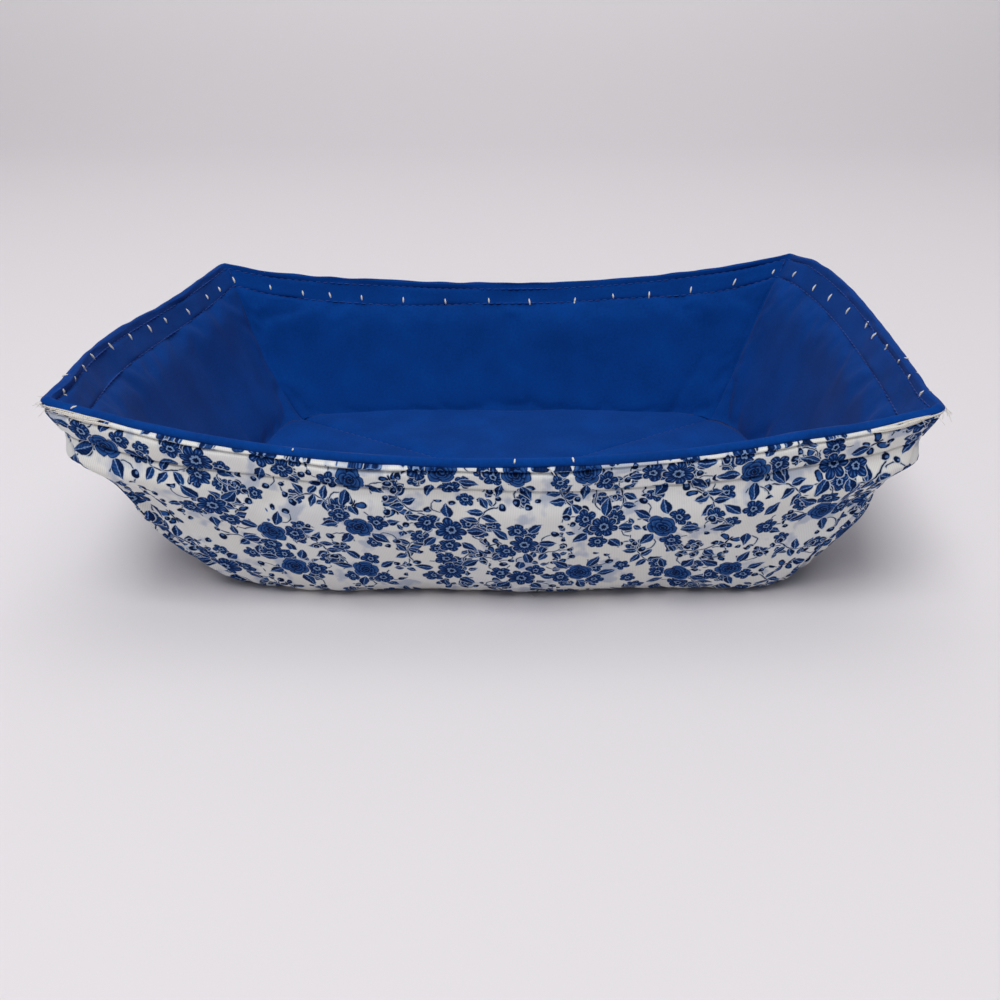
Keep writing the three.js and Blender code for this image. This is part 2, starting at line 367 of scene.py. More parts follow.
def wall_level(distance):
    distances = np.broadcast_to(distance, COLUMNS)
    shares = read_off(LENGTHS - distances, SHARE_ROWS)
    return Level(wall_at(CONTROLS, shares)[0], *wall_at(SOFT_CONTROLS, shares), distances)


def closing_in(start, end, steps):
    """Distances from start to end, closer together towards both."""
    share = (1 - np.cos(np.linspace(0, math.pi, steps + 1))) / 2
    return [start + (end - start) * step for step in share[1:]]


FOOT_LEVELS = [foot_level(step / FOOT_RINGS) for step in range(1, FOOT_RINGS)]
WALL_SHARES = np.linspace(1, 0, WALL_RINGS + 1)
WALL_LEVELS = [wall_level(WALL_TOPS + (LENGTHS - WALL_TOPS) * share) for share in WALL_SHARES]
BAND_DISTANCES = closing_in(WALL_TOPS, BAND_ROWS, CREASE_RINGS)
BAND_DISTANCES += closing_in(BAND_ROWS, EDGE_ROW, BAND_RINGS)
EDGE_DISTANCES = closing_in(EDGE_ROW, PRINT_TOPS, CORD_RINGS)
LIP_DISTANCES = closing_in(PRINT_TOPS, np.minimum(LIP_START, PRINT_TOPS), TUCK_RINGS)
BODY_LEVELS = FOOT_LEVELS + WALL_LEVELS + [wall_level(d) for d in BAND_DISTANCES]
EDGE_LEVELS = [wall_level(d) for d in EDGE_DISTANCES]
LIP_LEVELS = [wall_level(d) for d in LIP_DISTANCES]
RIM_LEVEL = wall_level(0.0)

OUTER_SEED = 3
LINING_SEED = 21


def row_gap(distances):
    return np.minimum(abs(distances - EDGE_ROW), abs(distances - BAND_ROWS))


def seam_share(level):
    """How far the padding has risen beside the corner seams and the quilting of the foot."""
    return pillow(level.seam_gaps, np.where(level.is_wall, WALL_SEAM_SPREAD, FOOT_SEAM_SPREAD))


def wall_loft(distances, start):
    """The wall rises gently from its start at the band row."""
    share = np.clip((distances - BAND_ROWS) / WALL_RISE, 0, 1)
    return start + (LOFT - start) * (1 - (1 - share) ** 2)


def crease(gaps, depth, width):
    """A steep groove along a row of stitching."""
    return depth * np.exp(-((gaps / width) ** CREASE_POWER))


def outer_loft(distances):
    cord_half = (EDGE_ROW - PRINT_TOPS) / 2
    from_middle = (distances - PRINT_TOPS - cord_half) / cord_half
    cord = CORD_LOFT * np.sqrt(np.clip(1 - from_middle**2, 0, 1))
    upper = BAND_LOFT * pillow(distances - EDGE_ROW, BAND_SPREAD)
    lower = WALL_START + (BAND_LOFT - WALL_START) * pillow(BAND_ROWS - distances, BAND_SPREAD)
    below_edge = np.where(distances < BAND_ROWS, np.minimum(upper, lower), wall_loft(distances, WALL_START))
    shape = np.where(distances < EDGE_ROW, cord, below_edge)
    edge_crease = crease(distances - EDGE_ROW, CREASE_DEPTH, EDGE_CREASE_WIDTH)
    return shape - edge_crease - crease(distances - BAND_ROWS, CREASE_DEPTH + WALL_START, BAND_CREASE_WIDTH)


def lining_loft(distances):
    rim_side = LINING_ROW_DEPTH * pillow(row_gap(distances), BAND_SPREAD)
    return np.where(distances < BAND_ROWS, rim_side, wall_loft(distances, 0.0))


def slack(level, seed):
    """Unevenness of the cloth between its rows of stitching."""
    swell = SWELL * waves(level.points, SWELL_LENGTH, seed)
    nearness = np.exp(-np.minimum(row_gap(level.distances), level.seam_gaps) / PUCKER_REACH)
    pucker = PUCKER * waves(level.points, PUCKER_LENGTH, seed + 1) * nearness
    return (swell + pucker) * pillow(row_gap(level.distances), BAND_SPREAD)


def corner_folds(level, seed):
    """Soft folds that run down beside the corner seams, deeper at the left end."""
    down = smoothstep(level.distances, FOLD_TOP, 2 * FOLD_TOP) * level.is_wall
    wander = FOLD_WANDER * waves(level.points, SWELL_LENGTH, seed + 2)
    wave = np.cos(level.seam_gaps * (TURN / FOLD_PITCH) + wander)
    depth = np.where(level.points[:, 0] < 0, FOLD_LEFT, FOLD_RIGHT)
    return depth * wave * np.exp(-level.seam_gaps / FOLD_REACH) * down


def hump(values, middle, spread):
    """A rounded rise from none to one and back, about a middle."""
    return np.exp(-(((values - middle) / spread) ** 2))


def shoulder(level):
    """The swell below the band beside the corners, and the waist below it."""
    swell = SHOULDER * hump(level.distances, SHOULDER_DROP, SHOULDER_SPREAD)
    waist = WAIST * hump(level.distances, WAIST_DROP, SHOULDER_SPREAD)
    below_band = smoothstep(level.distances, BAND_ROWS, BAND_ROWS + SHOULDER_SPREAD) * level.is_wall
    return (swell - waist) * below_band * hump(level.seam_gaps, 0, SHOULDER_REACH)


def outer_offset(level):
    loft = outer_loft(level.distances) + slack(level, OUTER_SEED)
    return seam_share(level) * (loft + corner_folds(level, OUTER_SEED) + shoulder(level))


def pack_share(level):
    """The thickness of the layers together, as a share of the thickness at the foot."""
    rim_share = RIM_PACK / PACK
    return rim_share + (1 - rim_share) * smoothstep(level.distances, 0, PACK_REACH)


def lining_offset(level):
    rise = seam_share(level) * (lining_loft(level.distances) + slack(level, LINING_SEED))
    return -PACK * pack_share(level) - rise


def overhang(level):
    """How far the band's cloth hangs down over the band row."""
    rise = BAND_ROWS - level.distances
    share = np.clip(rise / (BAND_ROWS - EDGE_ROW), 0, 1)
    return BAND_OVERHANG * pillow(np.maximum(rise, 0), BAND_SPREAD / 2) * (1 - share) ** 2


def settle(points):
    """The cozy as it stands, drawn a little out of true."""
    x, y, z = (points[..., k] for k in range(3))
    along = x / EAR_X
    across = y / EAR_Y
    up = np.clip(z / EAR_HEIGHT, 0, 1)
    behind = smoothstep(across, *BACK_SPAN) * up
    right = smoothstep(along, *END_SPAN) * behind
    left = smoothstep(-along, *END_SPAN) * behind
    rise = right * (1 - smoothstep(across, *BACK_EAR_SPAN))
    droop = smoothstep(along, *DROOP_SPAN_X) * smoothstep(-across, *DROOP_SPAN_Y) * up
    pull = EAR_PULL * smoothstep(abs(along), *PULL_SPAN_X) * smoothstep(-across, *PULL_SPAN_Y) * up**3
    settled = points.copy()
    settled[..., 0] += RIGHT_OUT * right + LEFT_IN * left + FOOT_RIGHT * (1 - up) ** FOOT_RIGHT_POWER
    settled[..., 0] += pull * np.sign(x)
    settled[..., 1] -= pull / 2
    settled[..., 2] += RIGHT_UP * rise - LEFT_DOWN * left - FRONT_RIGHT_DOWN * droop
    return settled


def on_table(points, height):
    """Points kept at a height over the table or above it, so that the cloth lies flat where it rests."""
    points[..., 2] = np.maximum(points[..., 2], height)
    return points


# Meshes of rings


def ring_quads(count, columns):
    """Faces between each ring of vertices and the next, counting vertices from none."""
    here = np.arange(columns)
    following = (here + 1) % columns
    low = np.arange(count - 1)[:, None] * columns
    quads = np.stack([low + here, low + following, low + columns + following, low + columns + here], -1)
    return quads.reshape(-1, 4)


def shell_faces(count, columns):
    """Faces of a closed shell of rings; its last two vertices are the middles of the first and last ring."""
    here = np.arange(columns)
    following = (here + 1) % columns
    last = (count - 1) * columns
    middle = np.full(columns, count * columns)
    first_fan = np.stack([middle, following, here], -1)
    last_fan = np.stack([middle + 1, last + here, last + following], -1)
    return [ring_quads(count, columns), first_fan, last_fan]


def placed(name, data):
    """A new object in the scene."""
    item = bpy.data.objects.new(name, data)
    bpy.context.scene.collection.objects.link(item)
    return item


def new_piece(name, vertices, faces, uvs=None):
    """A smooth piece, from vertices and cloth coordinates in millimetres."""
    mesh = bpy.data.meshes.new(name)
    mesh.from_pydata((np.asarray(vertices) * MM).tolist(), [], faces)
    if uvs is not None:
        layer = mesh.uv_layers.new(name="cloth")
        layer.data.foreach_set("uv", (np.asarray(uvs) * MM).astype(np.float32).ravel())
    mesh.polygons.foreach_set("use_smooth", [True] * len(mesh.polygons))
    mesh.update()
    return placed(name, mesh)


# Cloth simulation: the wall panels are let out a little and blown up softly between their rows and seams, so
# that they swell and pucker. The solver works at a larger size, where it is steady.

SIM_SIZE = 0.01
SIM_FRAMES = 20
SIM_SPACING = 2.3
SIM_RINGS = 28
SIM_GROWTH = 0.03
SIM_PRESSURE = 0.5
SIM_QUALITY = 6
SIM_MASS = 0.2
SIM_BENDING = 0.05
SIM_CAP = 1.3
SIM_SINK = 0.2

# How many columns each side has for the solver, and where each side starts
SIM_COUNTS = np.round(2 * half_side(np.arange(SIDES), RIM) / SIM_SPACING).astype(int)
SIM_STARTS = np.concatenate([[0], np.cumsum(SIM_COUNTS)])


def evened(ring):
    """A ring's points at even places along each side."""
    parts = []
    for side, count in enumerate(SIM_COUNTS):
        columns = np.flatnonzero(SIDE == side)
        places = np.append(PLACE[columns], 1.0)
        columns = np.append(columns, (columns[-1] + 1) % COLUMNS)
        even = -1 + 2 * np.arange(count) / count
        parts.append(between(even, places, ring[columns]))
    return np.concatenate(parts)


def solver_piece(points, pinned, is_inside):
    """A grid of cloth, held at its pinned points, for the solver to work on."""
    quads = ring_quads(*points.shape[:2])
    if is_inside:
        quads = quads[:, ::-1]
    mesh = bpy.data.meshes.new("solver_cloth")
    mesh.from_pydata((points.reshape(-1, 3) * SIM_SIZE).tolist(), [], quads.tolist())
    piece = placed("solver_cloth", mesh)
    held = piece.vertex_groups.new(name="held")
    held.add(np.flatnonzero(pinned).tolist(), 1.0, "REPLACE")
    cloth = piece.modifiers.new("cloth", "CLOTH")
    cloth.settings.vertex_group_mass = "held"
    cloth.settings.quality = SIM_QUALITY
    cloth.settings.mass = SIM_MASS
    cloth.settings.bending_stiffness = SIM_BENDING
    cloth.settings.shrink_min = -SIM_GROWTH
    cloth.settings.use_pressure = True
    cloth.settings.uniform_pressure_force = SIM_PRESSURE
    cloth.settings.effector_weights.gravity = 0.0
    cloth.collision_settings.use_collision = False
    cloth.point_cache.frame_start = 1
    cloth.point_cache.frame_end = SIM_FRAMES
    return piece


def solve_cloth(points, pinned, is_inside):
    """Where the solver leaves a grid of cloth that is held at its pinned points."""
    piece = solver_piece(points, pinned, is_inside)
    for step in range(1, SIM_FRAMES + 1):
        bpy.context.scene.frame_set(step)
    solved = piece.evaluated_get(bpy.context.evaluated_depsgraph_get())
    places = np.zeros(points.size, dtype=np.float32)
    solved.data.vertices.foreach_get("co", places)
    mesh = piece.data
    bpy.data.objects.remove(piece)
    bpy.data.meshes.remove(mesh)
    bpy.context.scene.frame_set(1)
    return places.reshape(points.shape).astype(float) / SIM_SIZE


def simulated_moves(offset_of, is_inside):
    """How far the solver moves a wall panel, ring by ring from the foot to the band row."""
    shares = np.linspace(0, 1, SIM_RINGS)
    levels = [wall_level(LENGTHS * (1 - share) + BAND_ROWS * share) for share in shares]
    points = np.array([evened(level.offset(offset_of(level))) for level in levels])
    pinned = np.zeros(points.shape[:2], dtype=bool)
    pinned[[0, -1]] = True
    pinned[:, SIM_STARTS[:-1]] = True
    return solve_cloth(points, pinned, is_inside) - points


def spline_shares(t):
    """Shares of four neighbours that make a smooth curve through the stretch between the middle two."""
    return ((1 - t) ** 3 / 6, (3 * t**3 - 6 * t**2 + 4) / 6, (-3 * t**3 + 3 * t**2 + 3 * t + 1) / 6, t**3 / 6)


def move_at(moves, level, is_inside):
    """The simulated movement at a level's points: outward as far as the cap, inward hardly at all."""
    if moves is None:
        return np.zeros((COLUMNS, 3))
    up = np.clip((LENGTHS - level.distances) / (LENGTHS - BAND_ROWS), 0, 1) * (SIM_RINGS - 1)
    along = SIM_STARTS[SIDE] + (PLACE + 1) / 2 * SIM_COUNTS[SIDE]
    ring = np.floor(up).astype(int)
    column = np.floor(along).astype(int)
    move = np.zeros((COLUMNS, 3))
    for j, ring_share in enumerate(spline_shares(up - ring)):
        rings = np.clip(ring + j - 1, 0, SIM_RINGS - 1)
        for k, column_share in enumerate(spline_shares(along - column)):
            columns = (column + k - 1) % SIM_STARTS[-1]
            move += (ring_share * column_share)[:, None] * moves[rings, columns]
    facing = -level.normals if is_inside else level.normals
    outward = (move * facing).sum(axis=1)
    is_free = (level.distances > BAND_ROWS) & level.is_wall
    capped = np.clip(SIM_CAP * np.tanh(outward / SIM_CAP), -SIM_SINK, None)
    return facing * (capped * is_free)[:, None]


# Cloth coordinates: where each point lies on the flat cut, in millimetres, before the walls are folded up

# Runs up each column with the movement along X left out, and with the movement along Y left out
FLAT_RUNS = [runs_along(SAMPLES * kept) for kept in ((0, 1, 1), (1, 0, 1))]


def flat_places(level, extra=0.0):
    """A level's points on the flat cut: first as points of the long sides, then of the short sides."""
    places = []
    for runs, across in zip(FLAT_RUNS, (1, 0)):
        run = read_off(LENGTHS - level.distances, runs) + extra
        flat = level.points[:, :2].copy()
        foot = FOOT_POINTS[:, across]
        flat[:, across] = np.where(level.is_wall, foot + np.sign(foot) * run, flat[:, across])
        places.append(flat)
    return places


def cloth_mesh(name, shown, hidden, middles, flats, is_inside=False):
    """A closed cloth: its shown face in rings from the middle out, and its hidden face back to the middle."""
    rings = shown + hidden[::-1]
    table = np.array(flats + flats[::-1]).swapaxes(0, 1).reshape(2, -1, 2)
    table = np.concatenate([table, np.zeros((2, len(middles), 2))], 1)
    faces = []
    uvs = []
    for group in shell_faces(len(rings), COLUMNS):
        axis = np.resize(SIDE % 2, len(group))[:, None]
        if is_inside:
            group = group[:, ::-1]
        faces.extend(group.tolist())
        uvs.append(table[axis, group].reshape(-1, 2))
    return new_piece(name, np.concatenate(rings + [middles]), faces, np.concatenate(uvs))


# The printed panel: foot, walls, the band between the two rows and a top edge that tucks under the lip


def printed_panel(moves):
    ragged = PRINT_TOPS + FRAY * waves(RIM_LEVEL.points, FRAY_LENGTH, OUTER_SEED + 3)
    levels = BODY_LEVELS + EDGE_LEVELS + [wall_level(ragged)]
    shown = []
    hidden = []
    for level in levels:
        offset = -LIP_SEAT if level is levels[-1] else outer_offset(level)
        shift = move_at(moves, level, False) - level.ups * overhang(level)[:, None]
        shown.append(on_table(settle(level.offset(offset) + shift), 0.0))
        hidden.append(on_table(settle(level.offset(offset - FABRIC) + shift), FABRIC))
    middles = settle(np.array([(0, 0, LOFT), (0, 0, LOFT + FABRIC)]))
    return cloth_mesh("printed_panel", shown, hidden, middles, [flat_places(level) for level in levels])


# The lining: floor, walls, and a lip rolled over the rim to the outside


def lip_rings(inset):
    """Rings from the inside face over the rim to the printed cloth's top edge."""
    rings = []
    waver = 1 + LIP_WAVER * waves(RIM_LEVEL.points, LIP_WAVER_LENGTH, LINING_SEED + 5)
    half = (RIM_PACK - LIP_SET_BACK) / 2
    for step in range(1, LIP_RINGS + 1):
        angle = math.pi * step / LIP_RINGS
        inward = LIP_SET_BACK + half + (half - inset) * math.cos(angle)
        lean = LIP_LEAN * PRINT_TOPS * (step / LIP_RINGS) ** 3
        rise = (LIP_CROWN - inset) * math.sin(angle) * waver - lean
        rings.append(settle(RIM_LEVEL.offset(-inward) + RIM_LEVEL.ups * rise[:, None]))
    under = wall_level(PRINT_TOPS + FRAY)
    rings.append(settle(under.offset(-LIP_SET_BACK - inset)))
    return rings


def lining_panel(moves):
    levels = BODY_LEVELS + EDGE_LEVELS + LIP_LEVELS
    shown = []
    hidden = []
    for level in levels:
        offset = lining_offset(level)
        move = move_at(moves, level, True)
        shown.append(settle(level.offset(offset) + move))
        hidden.append(settle(level.offset(offset + FABRIC) + move))
    lip = lip_rings(0)
    flats = [flat_places(level) for level in levels]
    for step in range(1, len(lip) + 1):
        flats.append(flat_places(RIM_LEVEL, step * (RIM_PACK / LIP_RINGS)))
    middles = settle(np.array([(0, 0, LOFT + PACK), (0, 0, LOFT + PACK - FABRIC)]))
    return cloth_mesh("lining_cloth", shown + lip, hidden + lip_rings(FABRIC), middles, flats, is_inside=True)


# Batting: two plain pads between the cloths, trimmed off below the edge row

BATTING_COLUMN_STEP = 5
BATTING_RING_STEP = 4


def batting(name, outside, inside):
    """A pad between two offsets from the wall, each a function of the level."""
    levels = BODY_LEVELS[::BATTING_RING_STEP]
    outer = [on_table(settle(level.offset(outside(level))), LIP_SEAT) for level in levels]
    inner = [settle(level.offset(inside(level))) for level in reversed(levels)]
    rings = np.array(outer + inner)[:, ::BATTING_COLUMN_STEP]
    middles = rings[[0, -1]].mean(axis=1)
    vertices = np.concatenate([rings.reshape(-1, 3), middles])
    faces = [face for group in shell_faces(*rings.shape[:2]) for face in group.tolist()]
    return new_piece(name, vertices, faces)


def outer_batt():
    return batting(
        "outer_batt",
        lambda level: outer_offset(level) - LIP_SEAT * pack_share(level),
        lambda level: -(LIP_SEAT + BATTING) * pack_share(level),
    )


def lining_batt():
    return batting(
        "lining_batt",
        lambda level: -(LIP_SEAT + BATTING + PLY_GAP) * pack_share(level),
        lambda level: LIP_SEAT + lining_offset(level),
    )


# Stitches: short strands that come up through the cloth and go down again

STITCH_STATIONS = np.array([-0.5, -0.36, -0.15, 0.15, 0.36, 0.5])
STITCH_HEIGHTS = np.array([-0.34, -0.02, 0.1, 0.1, -0.02, -0.34])
STITCH_WIDTHS = np.array([0.65, 0.95, 1.0, 1.0, 0.95, 0.65])
STRAND_SIDES = 8
NEEDLE_LIFT = -0.7 * THREAD_RADIUS
BOBBIN_LIFT = 0.4 * THREAD_RADIUS


def strand_rings(points, outs, radii):
    """Rings of vertices round a strand's points."""
    tangents = unit(np.gradient(points, axis=0))
    asides = unit(np.cross(tangents, outs))
    ups = np.cross(asides, tangents)
    angles = np.arange(STRAND_SIDES)[:, None] * TURN / STRAND_SIDES
    circle = np.cos(angles) * asides[:, None] + np.sin(angles) * ups[:, None]
    return points[:, None] + circle * np.asarray(radii)[:, None, None]


def strands_piece(name, strands):
    """One piece of many closed strands, each given as points, normals and radii."""
    vertices = []
    faces = []
    uvs = []
    end = np.arange(STRAND_SIDES)
    for points, outs, radii in strands:
        first = len(vertices)
        vertices.extend(strand_rings(points, outs, radii).reshape(-1, 3))
        strand = [*ring_quads(len(points), STRAND_SIDES), end[::-1], (len(points) - 1) * STRAND_SIDES + end]
        faces.extend((first + face).tolist() for face in strand)
        station, side = np.divmod(np.concatenate(strand), STRAND_SIDES)
        uvs.extend(zip(runs_along(points)[station], side * (TURN * THREAD_RADIUS / STRAND_SIDES)))
    return new_piece(name, vertices, faces, uvs)


def row_of_stitches(path, normals, lift, is_closed=False):
    """Stitches at even steps along a path."""
    if is_closed:
        path = np.vstack([path, path[:1]])
        normals = np.vstack([normals, normals[:1]])
    runs = runs_along(path)
    count = max(1, round(runs[-1] / STITCH_PITCH))
    pitch = runs[-1] / count
    strands = []
    for k in range(count):
        run = np.clip((k + 0.5) * pitch + STITCH_STATIONS * STITCH_LENGTH, 0, runs[-1])
        outs = unit(between(run, runs, normals))
        points = between(run, runs, path) + outs * (lift + STITCH_HEIGHTS[:, None])
        strands.append((points, outs, STITCH_WIDTHS * THREAD_RADIUS))
    return strands


def rim_row(name, distance, is_inside):
    level = wall_level(distance)
    if is_inside:
        path = settle(level.offset(-PACK * pack_share(level)))
        stitches = row_of_stitches(path, -level.normals, BOBBIN_LIFT, is_closed=True)
    else:
        path = settle(level.offset(-CREASE_DEPTH))
        stitches = row_of_stitches(path, level.normals, NEEDLE_LIFT, is_closed=True)
    return strands_piece(name, stitches)


def quilting_rows(name, height, up):
    """Two rows that cross on the foot, from corner to corner."""
    share = np.linspace(-1, 1, QUILT_SAMPLES)[:, None]
    outs = np.tile([0, 0, up], (QUILT_SAMPLES, 1))
    strands = []
    for corner in CORNERS[:2]:
        reach = FOOT_POINTS[corner] * QUILT_REACH
        path = settle(np.column_stack([share * reach, np.full(QUILT_SAMPLES, height)]))
        strands.extend(row_of_stitches(path, outs, BOBBIN_LIFT))
    return strands_piece(name, strands)


def dart_row(name, corner, offset):
    """Seam stitches on the hidden side of a dart, from the rim down towards the foot."""
    column = CORNERS[corner]
    wall_top = WALL_TOPS[column]
    end = wall_top + (LENGTHS[column] - wall_top) * DART_STOP
    levels = [wall_level(np.minimum(run, LENGTHS)) for run in np.linspace(EDGE_ROW, end, DART_SAMPLES)]
    path = np.array([settle(level.offset(offset))[column] for level in levels])
    outs = np.array([level.normals[column] for level in levels])
    return strands_piece(name, row_of_stitches(path, outs, 0))


# White tack stitches on the lining: over the lip at the front, and lower down towards the back

TACK_PITCH = 14.0
TACK_PITCH_SPREAD = (0.75, 1.3)
TACK_LENGTH = 2.3
TACK_LENGTH_SPREAD = (0.8, 1.2)
TACK_RADIUS = 0.34
TACK_DROP = 6.0
TACK_DROP_SPAN = (-0.6, 0.9)
TACK_TOP_SPREAD = (-0.5, 0.3)
TACK_SLANT = 0.5
TACK_LEAN = 0.4
TACK_BULGE = 0.25
TACK_SINK = 0.1
TACK_STATIONS = 9
TACK_SEED = 8
MISSING_AT_FRONT = 0.7


def lining_section(column, distances):
    """Points on the lining at one column: down its inside face, and over the lip at the rim and above."""
    points = []
    for distance in distances:
        if distance > EDGE_ROW / 2:
            level = wall_level(distance)
            point = level.offset(lining_offset(level))[column]
        else:
            turn = math.pi / 2 * (1 - distance / (EDGE_ROW / 2))
            inward = RIM_PACK * (1 + math.cos(turn)) / 2
            lift = LIP_CROWN * math.sin(turn) - max(distance, 0)
            point = (RIM_LEVEL.offset(-inward) + RIM_LEVEL.ups * lift)[column]
        points.append(point)
    return settle(np.array(points))


def swelling(share, radius):
    """Radii along a strand that is half as thick at its ends as in the middle."""
    return radius * (1 + np.sin(share * math.pi)) / 2


def rim_tacks():
    draw = np.random.default_rng(TACK_SEED)
    ring = RIM_LEVEL.points
    runs = runs_along(np.vstack([ring, ring[:1]]))
    share = np.linspace(0, 1, TACK_STATIONS)
    lift = TACK_BULGE * np.sin(share * math.pi) - TACK_SINK
    strands = []
    run = TACK_PITCH / 2
    while run < runs[-1]:
        column = int(np.searchsorted(runs, run)) % COLUMNS
        behind = smoothstep(ring[column, 1] / EAR_Y, *TACK_DROP_SPAN)
        top = TACK_DROP * behind + draw.uniform(*TACK_TOP_SPREAD)
        length = TACK_LENGTH * draw.uniform(*TACK_LENGTH_SPREAD)
        run += TACK_PITCH * draw.uniform(*TACK_PITCH_SPREAD)
        if SIDE[column] == 0 and draw.random() < MISSING_AT_FRONT:
            continue
        slant = draw.uniform(-TACK_SLANT, TACK_SLANT)
        around = unit(ring[(column + 1) % COLUMNS] - ring[column])
        out = unit(RIM_LEVEL.ups[column] * (1 - behind) - RIM_LEVEL.normals[column] * (TACK_LEAN + behind))
        curve = lining_section(column, top + length * share)
        curve += np.outer(slant * share, around) + np.outer(lift, out)
        strands.append((curve, np.tile(out, (TACK_STATIONS, 1)), swelling(share, TACK_RADIUS)))
    return strands_piece("rim_tacks", strands)


# Tacks along the top edge of the printed cloth at the two front ears

EAR_TACKS = 9
EAR_TACK_DEPTH = 1.9
EAR_TACK_STARTS = (0.84, 0.91)
EAR_TACK_SPAN = 0.09
EAR_TACK_RADIUS = 0.2
EAR_TACK_LIFT = 0.12
EAR_TACK_SEED = 31


def ear_tacks():
    draw = np.random.default_rng(EAR_TACK_SEED)
    strands = []
    for place in (-PLACE, PLACE):
        for k in range(EAR_TACKS):
            level = wall_level(np.maximum(PRINT_TOPS, EAR_TACK_DEPTH * (k + 0.5) / EAR_TACKS))
            past_start = place - draw.uniform(*EAR_TACK_STARTS)
            columns = np.flatnonzero((SIDE == 0) & (past_start > 0) & (past_start < EAR_TACK_SPAN))
            share = np.linspace(0, 1, len(columns))
            outs = level.normals[columns]
            lift = EAR_TACK_LIFT * np.sqrt(np.sin(share * math.pi))
            path = settle(level.offset(outer_offset(level)))[columns] + outs * lift[:, None]
            strands.append((path, outs, swelling(share, EAR_TACK_RADIUS)))
    return strands_piece("ear_tacks", strands)


# Loose ends: fine fibres at the tips of the ears, and two tails of thread at the front

STRAND_TAPER = 0.4
FIBRE_COUNT = 18
FIBRE_RADIUS = 0.08
FIBRE_LENGTHS = (0.8, 2.2)
FIBRE_COLUMNS = 7
FIBRE_LIFT = 0.1
FIBRE_STRAY = 0.5
FIBRE_SAG = 0.25
FIBRE_STATIONS = 6
FIBRE_SEED = 15
TAIL_RADIUS = 0.16
TAIL_STATIONS = 10
RIM_TAIL = {"direction": (0.5, -1.0, 0.7), "bend": (0.3, -0.1, -0.9), "length": 2.6}
RIM_TAIL_X = 12.3
FOOT_TAIL = {"direction": (0.2, -1.0, 0.2), "bend": (0.5, 0.0, -0.35), "length": 2.8}
FOOT_TAIL_X = 4.8
FOOT_TAIL_UP = 1.0


def loose_strand(start, direction, bend, length, radius, stations):
    """A strand that leaves its start along a direction and bends away from it."""
    share = np.linspace(0, 1, stations)[:, None]
    heading = unit(np.array(direction))
    points = start + heading * (length * share) + np.array(bend) * (length * share**2)
    outs = np.tile(np.cross(heading, bend), (stations, 1))
    return points, outs, radius * (1 - STRAND_TAPER * share[:, 0])


def ear_fibres():
    draw = np.random.default_rng(FIBRE_SEED)
    strands = []
    top = wall_level(PRINT_TOPS)
    tips = settle(top.offset(FIBRE_LIFT))
    for corner in CORNERS:
        for _ in range(FIBRE_COUNT):
            column = (corner + round(draw.normal(0, FIBRE_COLUMNS))) % COLUMNS
            direction = top.normals[column] + draw.normal(0, FIBRE_STRAY, 3)
            bend = draw.normal(0, FIBRE_STRAY, 3) - (0, 0, FIBRE_SAG)
            length = draw.uniform(*FIBRE_LENGTHS)
            strands.append(loose_strand(tips[column], direction, bend, length, FIBRE_RADIUS, FIBRE_STATIONS))
    return strands_piece("ear_fibres", strands)


def front_column(x):
    """The column of the front side that is nearest to a place along it."""
    front = np.flatnonzero(SIDE == 0)
    return front[np.argmin(abs(RIM_LEVEL.points[front, 0] - x))]


def thread_tails():
    top = wall_level(PRINT_TOPS)
    start = settle(top.offset(0.0))[front_column(RIM_TAIL_X)]
    rim_tail = loose_strand(start, radius=TAIL_RADIUS, stations=TAIL_STATIONS, **RIM_TAIL)
    foot = wall_level(LENGTHS - FOOT_TAIL_UP)
    start = settle(foot.offset(outer_offset(foot)))[front_column(FOOT_TAIL_X * EAR_X / FOOT_X)]
    foot_tail = loose_strand(start, radius=TAIL_RADIUS, stations=TAIL_STATIONS, **FOOT_TAIL)
    on_table(foot_tail[0], TAIL_RADIUS)
    return strands_piece("thread_tails", [rim_tail, foot_tail])


# Shader building: arithmetic on a field adds nodes to its material


class Field:
    """A value that varies over a surface."""

    def __init__(self, socket):
        self.socket = socket
        self.tree = socket.id_data

    def math(self, operation, *others):
        return made(self.tree, "Math", dict(enumerate((self, *others))), operation=operation)

    def ramp(self, low, high):
        """Smoothly from none at low to one at high."""
        inputs = {"Value": self, "From Min": low, "From Max": high}
        return made(self.tree, "MapRange", inputs, interpolation_type="SMOOTHSTEP")

    def blend(self, other, share):
        """This field where the share is none, the other where it is one."""
        return made(self.tree, "Mix", {0: share, 2: self, 3: other})

    def colour(self, first, second):
        """The first colour where this field is none, the second where it is one."""
        return made(self.tree, "Mix", {0: self, 6: first, 7: second}, 2, data_type="RGBA")

    __add__ = partialmethod(math, "ADD")
    __radd__ = __add__
    __sub__ = partialmethod(math, "SUBTRACT")
    __rsub__ = partialmethod(math, "MULTIPLY_ADD", -1.0)
    __mul__ = partialmethod(math, "MULTIPLY")
    __rmul__ = __mul__
    __truediv__ = partialmethod(math, "DIVIDE")
    __abs__ = partialmethod(math, "ABSOLUTE")


def feed(node, inputs):
    """Link fields to a node's inputs, and set the plain values on them."""
    for name, value in inputs.items():
        if isinstance(value, Field):
            value.tree.links.new(value.socket, node.inputs[name])
        else:
            node.inputs[name].default_value = value


def add_node(tree, kind, inputs=None, **settings):
    node = tree.nodes.new("ShaderNode" + kind)
    for name, value in settings.items():
        setattr(node, name, value)
    feed(node, inputs or {})
    return node


def made(tree, kind, inputs=None, output=0, **settings):
    """One output of a new node, as a field."""
    return Field(add_node(tree, kind, inputs, **settings).outputs[output])


def vector_math(operation, first, second):
    second_input = "Scale" if operation == "SCALE" else 1
    return made(first.tree, "VectorMath", {0: first, second_input: second}, operation=operation)


def turned(vector, angle):
    inputs = {"Vector": vector, "Angle": angle}
    return made(vector.tree, "VectorRotate", inputs, rotation_type="Z_AXIS")


